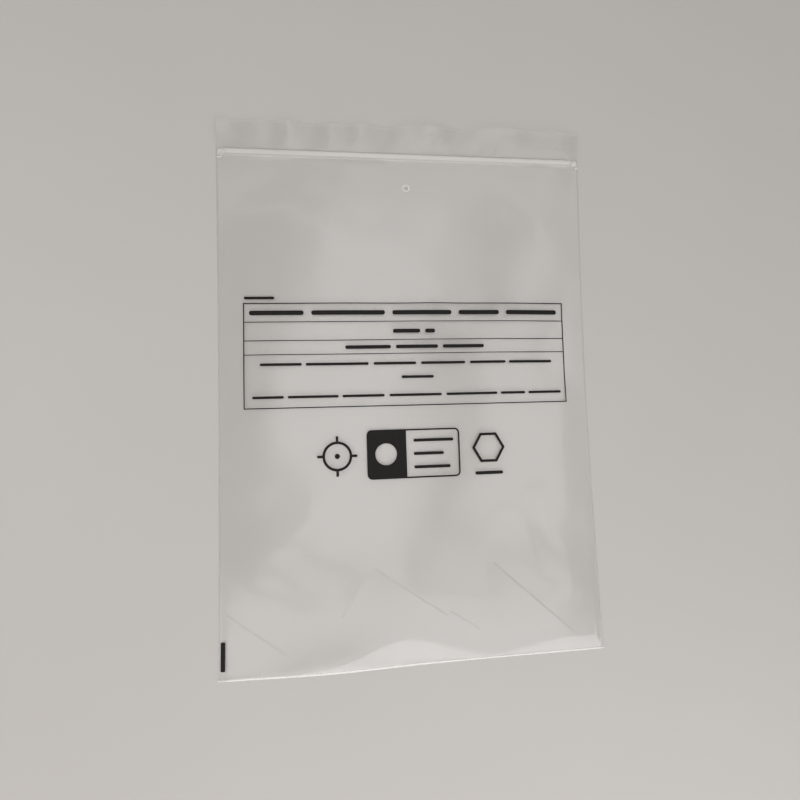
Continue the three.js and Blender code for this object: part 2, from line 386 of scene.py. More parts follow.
    def rolled_fold(self, x: np.ndarray, y: np.ndarray) -> np.ndarray:
        """Height that the front wall gains where it rolls over from the bottom fold.

        The roll is steeper where the back wall curls up, and it settles again further up the bag.

        Args:
            x: Places across the bag.
            y: Places up the bag.

        Returns:
            Heights, in the order of the places.
        """
        places, heights = zip(*self.roll_heights)
        shifts = np.linspace(-self.roll_rounding, self.roll_rounding, self.roll_samples)
        roll = np.mean([np.interp(x + shift, places, heights) for shift in shifts], axis=0)
        curl_slope = 2 * wave_height(self.curl, x) / self.curl_reach
        rise = (self.roll_slope + curl_slope) * roll * bent(y / roll)
        settled = 1 - ease((y - self.roll_crown) / self.roll_settle)
        return rise * settled * ease((self.weld_line - np.abs(x)) / self.roll_end)

    def lip_gap(self, x: np.ndarray, y: np.ndarray) -> np.ndarray:
        """Gap between the two lips, gathered along the zip.

        Args:
            x: Places across the bag.
            y: Places up the bag.

        Returns:
            Gaps, in the order of the places.
        """
        gather = 1 + np.cos(2 * math.pi * x / self.lip_gather) / 2
        return self.weld_bead + self.side_rise(x) * gather * self.lip_parting * self.lip_share(y)

    def gap(self, x: np.ndarray, y: np.ndarray) -> np.ndarray:
        """Gap between the insides of the two walls anywhere on the bag.

        Args:
            x: Places across the bag.
            y: Places up the bag.

        Returns:
            Gaps, in the order of the places.
        """
        low = (y - self.plateau[0] + self.zip_shoulder) / self.zip_shoulder
        above = np.maximum(0, y - self.plateau[1])
        slack = self.slack_share + wave_height(self.slack_waves, x)
        high = (1 - slack) * ease(1 - above / self.zip_drop) + slack * ease(1 - above / self.zip_slack)
        on_zip = np.where(y < self.zip_line, ease(low), high)
        besides = np.where(y < self.zip_line, self.pouch_gap(x, y), self.lip_gap(x, y))
        return besides + (self.zip_gap * self.uncrushed(x) - besides) * on_zip

    def back_outside(self, x: np.ndarray, y: np.ndarray) -> np.ndarray:
        """Height of the outside of the back wall: flat, but lifted at the lips and at the curled fold.

        Args:
            x: Places across the bag.
            y: Places up the bag.

        Returns:
            Heights, in the order of the places.
        """
        lip = wave_height(self.lip_waves, x) * (1 - (1 - self.lip_share(y)) ** 2)
        curl = wave_height(self.curl, x) * np.maximum(0, 1 - y / self.curl_reach) ** 2
        return lip + curl

    def back_middle(self, x: np.ndarray, y: np.ndarray) -> np.ndarray:
        """Height half way through the back wall."""
        return self.back_outside(x, y) + self.film / 2

    def front_middle(self, x: np.ndarray, y: np.ndarray) -> np.ndarray:
        """Height half way through the front wall."""
        return self.back_middle(x, y) + self.film + self.gap(x, y)

    def front_outside(self, x: np.ndarray, y: np.ndarray) -> np.ndarray:
        """Height of the outside of the front wall."""
        return self.front_middle(x, y) + self.film / 2

    def drawn_in(self, x: np.ndarray, y: np.ndarray) -> np.ndarray:
        """Where a place across the bag lies once the side edges have drawn in.

        Args:
            x: Places across the bag, as it was welded.
            y: Places up the bag.

        Returns:
            Places across the bag, in the same order.
        """
        bow = np.sin(math.pi * np.clip(y / self.plateau[0], 0, 1))
        most = np.where(x > 0, self.draw_in_right, self.draw_in_left)
        return x - np.sign(x) * most * bow * np.abs(x / self.half_width) ** self.draw_in_power

    def in_frame(self, x: np.ndarray, y: np.ndarray, z: np.ndarray) -> np.ndarray:
        """Corner places in the part's frame.

        Args:
            x: Places across the bag, as it was welded.
            y: Places up the bag.
            z: Heights above the table.

        Returns:
            One row of x, y and z in metres for each corner.
        """
        return np.column_stack((self.drawn_in(x, y), y - self.length / 2, z)) * MM


class Nodes:
    """Node tree under construction, for a material or a node group."""

    def __init__(self, tree: bpy.types.NodeTree) -> None:
        """Starts on an empty tree."""
        self.tree = tree
        tree.nodes.clear()

    def add(self, kind: str, settings: dict | None = None, **inputs: object) -> bpy.types.Node:
        """Adds a node and sets or links its inputs.

        Args:
            kind: Blender's name of the node type.
            settings: Properties of the node.
            **inputs: Socket names, with underscores for spaces, each with a value or an output socket.

        Returns:
            The new node.
        """
        node = self.tree.nodes.new(kind)
        for name, value in (settings or {}).items():
            setattr(node, name, value)
        for name, value in inputs.items():
            socket = node.inputs[name.replace("_", " ")]
            if isinstance(value, bpy.types.NodeSocket):
                self.tree.links.new(value, socket)
            else:
                socket.default_value = value
        return node

    def noise(self, scale: float, detail: float) -> bpy.types.NodeSocket:
        """Adds cloudy noise in the object's own coordinates.

        Args:
            scale: Scale of the noise.
            detail: Number of finer layers in it.

        Returns:
            The socket of the noise, from 0 to 1.
        """
        place = self.add("ShaderNodeTexCoord").outputs["Object"]
        return self.add("ShaderNodeTexNoise", Vector=place, Scale=scale, Detail=detail).outputs["Fac"]

    def ramp(self, value: bpy.types.NodeSocket, low: float, high: float) -> bpy.types.NodeSocket:
        """Spreads a value of 0 to 1 over another range.

        Args:
            value: Output socket to spread.
            low: Result at 0.
            high: Result at 1.

        Returns:
            The socket of the result.
        """
        return self.add("ShaderNodeMapRange", Value=value, To_Min=low, To_Max=high).outputs["Result"]

    def blend(self, value: bpy.types.NodeSocket, first: Colour, second: Colour) -> bpy.types.NodeSocket:
        """Mixes two colours.

        Args:
            value: Output socket, 0 for the first colour and 1 for the second.
            first: Linear colour.
            second: Linear colour.

        Returns:
            The socket of the mixed colour.
        """
        mix = self.add("ShaderNodeMix", {"data_type": "RGBA"})
        self.tree.links.new(value, mix.inputs["Factor"])
        mix.inputs[6].default_value = (*first, 1)
        mix.inputs[7].default_value = (*second, 1)
        return mix.outputs[2]

    def bump(self, height: bpy.types.NodeSocket, strength: float, depth: float) -> bpy.types.NodeSocket:
        """Turns a height into a normal.

        Args:
            height: Output socket of the height.
            strength: Strength of the bump, from 0 to 1.
            depth: Depth of the bump in millimetres.

        Returns:
            The socket of the normal.
        """
        node = self.add("ShaderNodeBump", Strength=strength, Distance=depth * MM, Height=height)
        return node.outputs["Normal"]


def new_material(name: str) -> tuple[bpy.types.Material, Nodes]:
    """Makes a material with an empty node tree.

    Args:
        name: Name of the material.

    Returns:
        The material and its node tree under construction.
    """
    material = bpy.data.materials.new(name)
    material.use_nodes = True
    return material, Nodes(material.node_tree)


def extrusion_marks() -> bpy.types.NodeTree:
    """Node group of the marks that drawn plastic keeps: soft clouds of haze and fine lines along one axis.

    Returns:
        The group, with the inputs Cloud Scale, Line Scale and Stretch and the outputs Clouds and Lines.
    """
    name = "extrusion_marks"
    if name in bpy.data.node_groups:
        return bpy.data.node_groups[name]
    group = bpy.data.node_groups.new(name, "ShaderNodeTree")
    nodes = Nodes(group)
    for socket in ("Cloud Scale", "Line Scale"):
        group.interface.new_socket(socket, in_out="INPUT", socket_type="NodeSocketFloat")
    group.interface.new_socket("Stretch", in_out="INPUT", socket_type="NodeSocketVector")
    for socket in ("Clouds", "Lines"):
        group.interface.new_socket(socket, in_out="OUTPUT", socket_type="NodeSocketFloat")
    given = nodes.add("NodeGroupInput")
    place = nodes.add("ShaderNodeTexCoord").outputs["Object"]
    clouds = nodes.add(
        "ShaderNodeTexNoise",
        Vector=place,
        Scale=given.outputs["Cloud Scale"],
        Detail=CLOUD_DETAIL,
        Roughness=CLOUD_ROUGHNESS,
    )
    drawn = nodes.add("ShaderNodeMapping", Vector=place, Scale=given.outputs["Stretch"])
    lines = nodes.add(
        "ShaderNodeTexNoise",
        Vector=drawn.outputs["Vector"],
        Scale=given.outputs["Line Scale"],
        Detail=LINE_DETAIL,
    )
    nodes.add("NodeGroupOutput", Clouds=clouds.outputs["Fac"], Lines=lines.outputs["Fac"])
    return group


@dataclass(frozen=True)
class DrawnPlastic:
    """Finish of see-through plastic drawn from a die."""

    name: str
    clear: Colour
    hazy: Colour
    alpha: float
    glossy: float
    dull: float
    ior: float
    cloud_scale: float
    line_scale: float
    stretch: tuple[float, float, float]
    line_depth: float
    line_strength: float = 0.3

    def material(self) -> bpy.types.Material:
        """Makes the material of this finish.

        Returns:
            The new material.
        """
        material, nodes = new_material(self.name)
        marks = nodes.add(
            "ShaderNodeGroup",
            {"node_tree": extrusion_marks()},
            Cloud_Scale=self.cloud_scale,
            Line_Scale=self.line_scale,
            Stretch=self.stretch,
        )
        clouds = marks.outputs["Clouds"]
        shader = nodes.add(
            "ShaderNodeBsdfPrincipled",
            Base_Color=nodes.blend(clouds, self.clear, self.hazy),
            Roughness=nodes.ramp(clouds, self.glossy, self.dull),
            Alpha=self.alpha,
            IOR=self.ior,
        )
        if self.line_depth:
            grooved = nodes.bump(marks.outputs["Lines"], self.line_strength, self.line_depth)
            nodes.tree.links.new(grooved, shader.inputs["Normal"])
        nodes.add("ShaderNodeOutputMaterial", Surface=shader.outputs["BSDF"])
        return material


@dataclass(frozen=True)
class PrintInk:
    """Finish of black ink on film, a little thinner in small patches."""

    name: str = "print_ink"
    full: Colour = (0.007, 0.006, 0.006)
    thin: Colour = (0.018, 0.015, 0.014)
    patch_scale: float = 420
    patch_detail: float = 3
    glossy: float = 0.5
    dull: float = 0.65
    ior: float = 1.25

    def material(self) -> bpy.types.Material:
        """Makes the material of this finish.

        Returns:
            The new material.
        """
        material, nodes = new_material(self.name)
        patches = nodes.noise(self.patch_scale, self.patch_detail)
        shader = nodes.add(
            "ShaderNodeBsdfPrincipled",
            Base_Color=nodes.blend(patches, self.full, self.thin),
            Roughness=nodes.ramp(patches, self.glossy, self.dull),
            IOR=self.ior,
        )
        nodes.add("ShaderNodeOutputMaterial", Surface=shader.outputs["BSDF"])
        return material


@dataclass(frozen=True)
class TablePaint:
    """Finish of a smooth pale table."""

    name: str = "table_paint"
    light: Colour = (0.535, 0.508, 0.483)
    dark: Colour = (0.515, 0.489, 0.465)
    patch_scale: float = 9
    patch_detail: float = 5
    roughness: float = 0.6

    def material(self) -> bpy.types.Material:
        """Makes the material of this finish.

        Returns:
            The new material.
        """
        material, nodes = new_material(self.name)
        patches = nodes.noise(self.patch_scale, self.patch_detail)
        shader = nodes.add(
            "ShaderNodeBsdfPrincipled",
            Base_Color=nodes.blend(patches, self.dark, self.light),
            Roughness=self.roughness,
        )
        nodes.add("ShaderNodeOutputMaterial", Surface=shader.outputs["BSDF"])
        return material


FILM_FINISHES = {
    Part.CLEAR: DrawnPlastic(
        name="clear_film",
        clear=(0.58, 0.55, 0.53),
        hazy=(0.7, 0.67, 0.645),
        alpha=0.06,
        glossy=0.12,
        dull=0.22,
        ior=8,
        cloud_scale=28,
        line_scale=260,
        stretch=(1, 0.02, 1),
        line_depth=0,
    ),
    # Welds and cut edges: a darker colour than the clear film, painted shade for the thin dark line along
    # every edge.
    Part.EDGE: DrawnPlastic(
        name="edge_painted_shade",
        clear=(0.36, 0.345, 0.33),
        hazy=(0.46, 0.44, 0.42),
        alpha=0.065,
        glossy=0.22,
        dull=0.4,
        ior=5,
        cloud_scale=160,
        line_scale=500,
        stretch=(0.2, 1, 1),
        line_depth=0.03,
    ),
    # Bottom fold: near-white and more opaque, partly the whitening of folded film and partly a painted
    # highlight for the bright line along the fold.
    Part.FOLD: DrawnPlastic(
        name="fold_whitening_and_painted_highlight",
        clear=(0.9, 0.88, 0.85),
        hazy=(0.96, 0.945, 0.92),
        alpha=0.27,
        glossy=0.2,
        dull=0.34,
        ior=3,
        cloud_scale=160,
        line_scale=500,
        stretch=(0.02, 1, 1),
        line_depth=0.02,
    ),
    # Crease drops: a darker colour than the clear film, painted shade for the dark crease lines.
    Part.CREASE: DrawnPlastic(
        name="crease_painted_shade",
        clear=(0.43, 0.41, 0.395),
        hazy=(0.56, 0.535, 0.515),
        alpha=0.065,
        glossy=0.2,
        dull=0.34,
        ior=6,
        cloud_scale=90,
        line_scale=500,
        stretch=(0.2, 1, 1),
        line_depth=0.02,
    ),
    # Lips: a darker colour than the clear film, painted shade.
    Part.LIP: DrawnPlastic(
        name="lip_painted_shade",
        clear=(0.5, 0.478, 0.458),
        hazy=(0.62, 0.595, 0.57),
        alpha=0.06,
        glossy=0.2,
        dull=0.32,
        ior=4.5,
        cloud_scale=28,
        line_scale=260,
        stretch=(1, 0.02, 1),
        line_depth=0,
    ),
    # Drop above the zip: near black, painted shade for the dark line above the zip.
    Part.STEP: DrawnPlastic(
        name="step_painted_shade",
        clear=(0.15, 0.14, 0.135),
        hazy=(0.3, 0.285, 0.27),
        alpha=0.075,
        glossy=0.2,
        dull=0.34,
        ior=4,
        cloud_scale=90,
        line_scale=500,
        stretch=(0.2, 1, 1),
        line_depth=0.02,
    ),
}
RIM_FINISH = DrawnPlastic(
    name="melted_film",
    clear=(0.94, 0.92, 0.89),
    hazy=(0.99, 0.975, 0.95),
    alpha=0.2,
    glossy=0.25,
    dull=0.4,
    ior=1.5,
    cloud_scale=300,
    line_scale=900,
    stretch=(1, 1, 1),
    line_depth=0.02,
)
ZIP_FINISH = DrawnPlastic(
    name="zip_plastic",
    clear=(0.92, 0.9, 0.87),
    hazy=(0.98, 0.965, 0.94),
    alpha=0.28,
    glossy=0.24,
    dull=0.38,
    ior=1.6,
    cloud_scale=60,
    line_scale=900,
    stretch=(0.02, 1, 1),
    line_depth=0.03,
)


def new_object(name: str, mesh: bpy.types.Mesh) -> bpy.types.Object:
    """Links a new object to the scene.

    Args:
        name: Name of the object.
        mesh: Its mesh.

    Returns:
        The object.
    """
    made = bpy.data.objects.new(name, mesh)
    bpy.context.scene.collection.objects.link(made)
    return made


def grid_lines(start: float, *stretches: tuple[float, int]) -> list[float]:
    """Places of grid lines.

    Args:
        start: First line.
        *stretches: End of each stretch and the number of cells in it.

    Returns:
        All lines, from the first to the last.
    """
    lines = [start]
    for end, count in stretches:
        first = lines[-1]
        lines += [first + (end - first) * (i + 1) / count for i in range(count)]
    return lines


@dataclass
class FilmPouch:
    """The bag's film: front wall, back wall, side welds, bottom fold and lips as one thin shell."""

    form: FilmForm
    crush_columns: int = 4
    taper_columns: int = 2
    middle_columns: int = 118
    fold_rows: int = 2
    roll_top: float = 22
    roll_rows: int = 15
    curl_rows: int = 8
    creased_top: float = 134
    creased_rows: int = 45
    smooth_top: float = 380
    smooth_rows: int = 50
    shoulder_rows: int = 12
    slope_rows: int = 7
    plateau_rows: int = 3
    lip_rows: int = 15
    edge_band: float = 1
    cut_reach: float = 4
    cut_tolerance: float = 0.001
    vent_diameter: float = 5
    vent_drop: float = 27
    vent_facets: int = 48
    punch_length: float = 20
    rim_width: float = 1.6
    rim_height: float = 0.24
    rim_facets: int = 10
    sharp_angle: float = 14

    def columns(self) -> list[float]:
        """Grid lines across the bag, close together where the zip ends are crushed.

        Returns:
            Places of the lines, from left to right.
        """
        form = self.form
        crush = form.half_width - form.crush_length
        full = crush - form.crush_taper
        return grid_lines(
            -form.half_width,
            (-form.weld_line, 1),
            (-crush, self.crush_columns),
            (-full, self.taper_columns),
            (full, self.middle_columns),
            (crush, self.taper_columns),
            (form.weld_line, self.crush_columns),
            (form.half_width, 1),
        )

    def rows(self) -> list[float]:
        """Grid lines up the bag, to the free edge of the front lip.

        Returns:
            Places of the lines, from the fold upwards.
        """
        form = self.form
        low, high = form.plateau
        return grid_lines(
            0,
            (form.bottom_fold, self.fold_rows),
            (self.roll_top, self.roll_rows),
            (form.curl_reach, self.curl_rows),
            (self.creased_top, self.creased_rows),
            (self.smooth_top, self.smooth_rows),
            (low - form.zip_shoulder, self.shoulder_rows),
            (low, self.slope_rows),
            (high, self.plateau_rows),
            (form.lip_foot, self.slope_rows),
            (form.front_edge - self.edge_band, self.lip_rows),
            (form.front_edge, 1),
        )

    def part_at(self, x: float, y: float, front: bool) -> Part:
        """Part of the film that a facet belongs to.

        Args:
            x: Place of its middle across the bag.
            y: Place of its middle up the bag.
            front: True on the front wall, False on the back wall.

        Returns:
            The pressed fold, a weld or cut edge, the step above the zip, a crease, a lip, or clear film.
        """
        form = self.form
        # The fold row takes the whitened film with a painted highlight.
        if y < form.bottom_fold:
            return Part.FOLD
        # Welds and cut edges take painted shade.
        if abs(x) > form.weld_line or y > form.length - self.edge_band:
            return Part.EDGE
        # The drop above the zip takes near-black painted shade.
        if front and form.plateau[1] < y < form.lip_foot:
            return Part.STEP
        # Crease drops take painted shade.
        if front and any(crease.on_drop(x, y) for crease in form.creases):
            return Part.CREASE
        # Lips take painted shade; the rest is clear film.
        return Part.LIP if y > form.plateau[1] else Part.CLEAR

    def grid(
        self,
        sheet: bmesh.types.BMesh,
        columns: list[float],
        rows: list[float],
        flat: tuple[float, float] | None,
    ) -> list[list[bmesh.types.BMVert | None]]:
        """Adds the corners and facets of one wall, still in the plane.

        Args:
            sheet: Mesh to add them to.
            columns: Grid lines across.
            rows: Grid lines up.
            flat: Stretch of rows that lies flat and takes one facet between the welds in each row, if any.

        Returns:
            Corners by row and column. Those inside a flat stretch are None.
        """
        last = len(columns) - 1
        kept = {0, 1, last - 1, last}
        in_flat = [flat is not None and flat[0] < y < flat[1] for y in rows]
        corners = [
            [sheet.verts.new((x, y, 0)) if i in kept or not hidden else None for i, x in enumerate(columns)]
            for y, hidden in zip(rows, in_flat)
        ]
        for j in range(len(rows) - 1):
            middle = (rows[j] + rows[j + 1]) / 2
            spans = [(i, i + 1) for i in range(last)]
            if flat is not None and flat[0] < middle < flat[1]:
                spans = [(0, 1), (1, last - 1), (last - 1, last)]
            for first, end in spans:
                below = [c for c in corners[j][first : end + 1] if c]
                above = [c for c in corners[j + 1][first : end + 1] if c]
                sheet.faces.new(below + above[::-1])
        return corners

    def mark_parts(self, sheet: bmesh.types.BMesh, front: bool) -> None:
        """Gives each facet of a flat wall the place of its finish.

        Args:
            sheet: Mesh of the wall, still in the plane.
            front: True for the front wall, False for the back wall.
        """
        for facet in sheet.faces:
            middle = facet.calc_center_median()
            facet.material_index = self.part_at(middle.x, middle.y, front).value

    def cut_creases(self, sheet: bmesh.types.BMesh) -> None:
        """Cuts the facets of the front wall along the crest and the foot of each crease.

        Args:
            sheet: Mesh of the front wall, still in the plane.
        """
        for crease in self.form.creases:
            ahead_x, ahead_y = crease.heading
            across = Vector((-ahead_y, ahead_x, 0))
            for shift in (0, crease.drop):
                near = []
                for facet in sheet.faces:
                    middle = facet.calc_center_median()
                    along, left = crease.along_and_left(middle.x, middle.y)
                    in_reach = 0 < along < crease.length and abs(left - shift) < self.cut_reach
                    if in_reach and abs(middle.x) < self.form.weld_line:
                        near.append(facet)
                edges = {e for f in near for e in f.edges}
                verts = {v for f in near for v in f.verts}
                bmesh.ops.bisect_plane(
                    sheet,
                    geom=near + list(edges) + list(verts),
                    dist=self.cut_tolerance,
                    plane_co=Vector((*crease.start, 0)) + across * shift,
                    plane_no=across,
                )

    def raise_wall(self, verts: Iterable[bmesh.types.BMVert], front: bool) -> None:
        """Moves the corners of a flat wall to where they are on the bag.

        Args:
            verts: Corners of the wall.
            front: True for the front wall, False for the back wall.
        """
        verts = list(verts)
        places = np.array([v.co for v in verts])
        x, y = places[:, 0], places[:, 1]
        z = self.form.front_middle(x, y) if front else self.form.back_middle(x, y)
        for vert, place in zip(verts, self.form.in_frame(x, y, z)):
            vert.co = place

    def vent_punch(self) -> bpy.types.Object:
        """Makes the round punch that cuts the vent hole.

        Returns:
            The punch, standing through both walls.
        """
        form = self.form
        punch = bmesh.new()
        bmesh.ops.create_cone(
            punch,
            cap_ends=True,
            segments=self.vent_facets,
            radius1=self.vent_diameter / 2 * MM,
            radius2=self.vent_diameter / 2 * MM,
            depth=self.punch_length * MM,
            matrix=Matrix.Translation((0, (form.zip_line - self.vent_drop - form.length / 2) * MM, 0)),
        )
        mesh = bpy.data.meshes.new("vent_punch")
        punch.to_mesh(mesh)
        punch.free()
        return new_object("vent_punch", mesh)

    def walls(self) -> bmesh.types.BMesh:
        """Builds both walls, joined along the side welds and the bottom fold.

        Returns:
            The middle of the film as a sheet, open between the lips.
        """
        form = self.form
        columns, rows = self.columns(), self.rows()
        sheet = bmesh.new()
        front = self.grid(sheet, columns, rows, None)
        self.cut_creases(sheet)
        self.mark_parts(sheet, True)
        self.raise_wall(sheet.verts, True)

        back_rows = rows + [form.length - self.edge_band, form.length]
        back = bmesh.new()
        back_corners = self.grid(back, columns, back_rows, (form.curl_reach, form.lip_foot))
        self.mark_parts(back, False)
        self.raise_wall(back.verts, False)
        bmesh.ops.reverse_faces(back, faces=back.faces)
        twin = {v: sheet.verts.new(v.co) for v in back.verts}
        for facet in back.faces:
            made = sheet.faces.new([twin[v] for v in facet.verts])
            made.material_index = facet.material_index

        last_row = len(rows) - 1
        rim = [(last_row - j, 0) for j in range(last_row)]
        rim += [(0, i) for i in range(len(columns))]
        rim += [(j, len(columns) - 1) for j in range(1, last_row + 1)]
        for (j, i), (k, m) in zip(rim, rim[1:]):
            below = [twin[back_corners[j][i]], twin[back_corners[k][m]]]
            made = sheet.faces.new(below + [front[k][m], front[j][i]])
            # Bottom rim facets take the fold's whitening and painted highlight, and the others take the
            # edges' painted shade.
            made.material_index = (Part.FOLD if j == k == 0 else Part.EDGE).value
        back.free()
        return sheet

    def build(self) -> bpy.types.Object:
        """Builds the shell.

        Returns:
            The film as one closed object, with the vent hole through both walls.
        """
        sheet = self.walls()
        for facet in sheet.faces:
            facet.smooth = True
        mesh = bpy.data.meshes.new("film_pouch")
        for part in Part:
            mesh.materials.append(FILM_FINISHES[part].material())
        sheet.to_mesh(mesh)
        sheet.free()
        film = new_object("film_pouch", mesh)
        wall = film.modifiers.new("wall", "SOLIDIFY")
        wall.thickness = self.form.film * MM
        wall.offset = 0
        vent = film.modifiers.new("vent", "BOOLEAN")
        vent.operation = "DIFFERENCE"
        vent.solver = "MANIFOLD"
        punch = self.vent_punch()
        vent.object = punch
        shown = film.evaluated_get(bpy.context.evaluated_depsgraph_get())
        film.data = bpy.data.meshes.new_from_object(shown)
        film.modifiers.clear()
        bpy.data.objects.remove(punch)
        film.data.set_sharp_from_angle(angle=math.radians(self.sharp_angle))
        return film

    def vent_rim(self) -> bpy.types.Object:
        """Makes the bead of molten film that the hot punch leaves around the vent hole in the front wall.

        Returns:
            The rim as one closed ring.
        """
        form = self.form
        middle = form.zip_line - self.vent_drop
        around = np.repeat(np.arange(self.vent_facets) * 2 * math.pi / self.vent_facets, self.rim_facets)
        across = np.tile(np.arange(self.rim_facets) * 2 * math.pi / self.rim_facets, self.vent_facets)
        radius = self.vent_diameter / 2 + self.rim_width / 2 * np.cos(across)
        x, y = radius * np.cos(around), middle + radius * np.sin(around)
        z = form.front_middle(x, y) + self.rim_height / 2 * np.sin(across)
        facets = []
        for i in range(self.vent_facets):
            for j in range(self.rim_facets):
                k, m = (i + 1) % self.vent_facets, (j + 1) % self.rim_facets
                ring, after = i * self.rim_facets, k * self.rim_facets
                facets.append((ring + j, after + j, after + m, ring + m))
        mesh = bpy.data.meshes.new("vent_rim")
        mesh.from_pydata(form.in_frame(x, y, z).tolist(), [], facets)
        mesh.materials.append(RIM_FINISH.material())
        return new_object("vent_rim", mesh)

    def dress(self, film: bpy.types.Object, rim: bpy.types.Object) -> None:
        """Gives the film and the rim of its vent hole their place in the frame.

        Args:
            film: The shell.
            rim: The rim of the vent hole.
        """
        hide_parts("bag_film")
        for piece in (film, rim):
            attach(piece, BODY)
            LOG.info("%s: %d facets", piece.name, len(piece.data.polygons))


@dataclass(frozen=True)
class Bead:
    """Rounded bead of molten plastic on the front wall: its place, heading, sides and height."""

    at: Point
    degrees: float
    sides: Point
    height: float


@dataclass
class ZipStrips:
    """The two extruded strips of the zip, shown as their own solids, and the beads at their crushed ends."""

    form: FilmForm
    nodes: tuple[str, ...] = ("zip_channel", "zip_rib")
    beads: tuple[Bead, ...] = (
        Bead((-147.2, 399.4), 8, (5.2, 1.7), 1.1),
        Bead((145, 402.4), -35, (3.4, 1.8), 1.2),
        Bead((148.2, 399.8), 20, (3, 2), 1.2),
    )
    bead_steps: int = 20

    def build(self) -> bpy.types.Object:
        """Builds the beads.

        Returns:
            The beads as one object.
        """
        shape = bmesh.new()
        for bead in self.beads:
            x, y = (np.array([value]) for value in bead.at)
            place = Vector(self.form.in_frame(x, y, self.form.front_outside(x, y))[0])
            turn = Matrix.Rotation(math.radians(bead.degrees), 4, "Z")
            halves = [side / 2 * MM for side in (*bead.sides, bead.height)]
            bmesh.ops.create_uvsphere(
                shape,
                u_segments=self.bead_steps,
                v_segments=self.bead_steps // 2,
                radius=1,
                matrix=Matrix.Translation(place) @ turn @ Matrix.Diagonal((*halves, 1)),
            )
        for facet in shape.faces:
            facet.smooth = True
        mesh = bpy.data.meshes.new("zip_beads")
        shape.to_mesh(mesh)
        shape.free()
        return new_object("zip_beads", mesh)

    def dress(self, beads: bpy.types.Object) -> None:
        """Gives strips and beads the finish of drawn plastic, and the beads their place in the frame.

        Args:
            beads: The beads.
        """
        finish = ZIP_FINISH.material()
        for piece in [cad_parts[node] for node in self.nodes] + [beads]:
            piece.data.materials.clear()
            piece.data.materials.append(finish)
            LOG.info("%s: dressed", piece.name)
        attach(beads, BODY)


@dataclass(frozen=True)
class Box:
    """Upright rectangle on the front wall."""

    left: float
    bottom: float
    right: float
    top: float

    def inset(self, by: float) -> "Box":
        """The same rectangle, smaller by this much on every side."""
        return Box(self.left + by, self.bottom + by, self.right - by, self.top - by)

    def loop(self, radii: Sequence[float] = (0, 0, 0, 0), steps: int = 6) -> Loop:
        """Outline of the rectangle.

        Args:
            radii: Corner radii at bottom left, bottom right, top right and top left.
            steps: Number of chords in each rounded corner.

        Returns:
            Corners, anticlockwise.
        """
        corners = (
            (self.left, self.bottom, 1, 1),
            (self.right, self.bottom, -1, 1),
            (self.right, self.top, -1, -1),
            (self.left, self.top, 1, -1),
        )
        loop: Loop = []
        for turn, ((x, y, inward_x, inward_y), radius) in enumerate(zip(corners, radii)):
            if radius == 0:
                loop.append((x, y))
                continue
            centre = (x + inward_x * radius, y + inward_y * radius)
            for step in range(steps + 1):
                angle = math.pi + (turn + step / steps) * math.pi / 2
                loop.append((centre[0] + radius * math.cos(angle), centre[1] + radius * math.sin(angle)))
        return loop


def circle(centre: Point, radius: float, steps: int = 48) -> Loop:
    """Outline of a circle.

    Args:
        centre: Its middle.
        radius: Its radius.
        steps: Number of chords.

    Returns:
        Corners, anticlockwise.
    """
    angles = [2 * math.pi * i / steps for i in range(steps)]
    return [(centre[0] + radius * math.cos(a), centre[1] + radius * math.sin(a)) for a in angles]


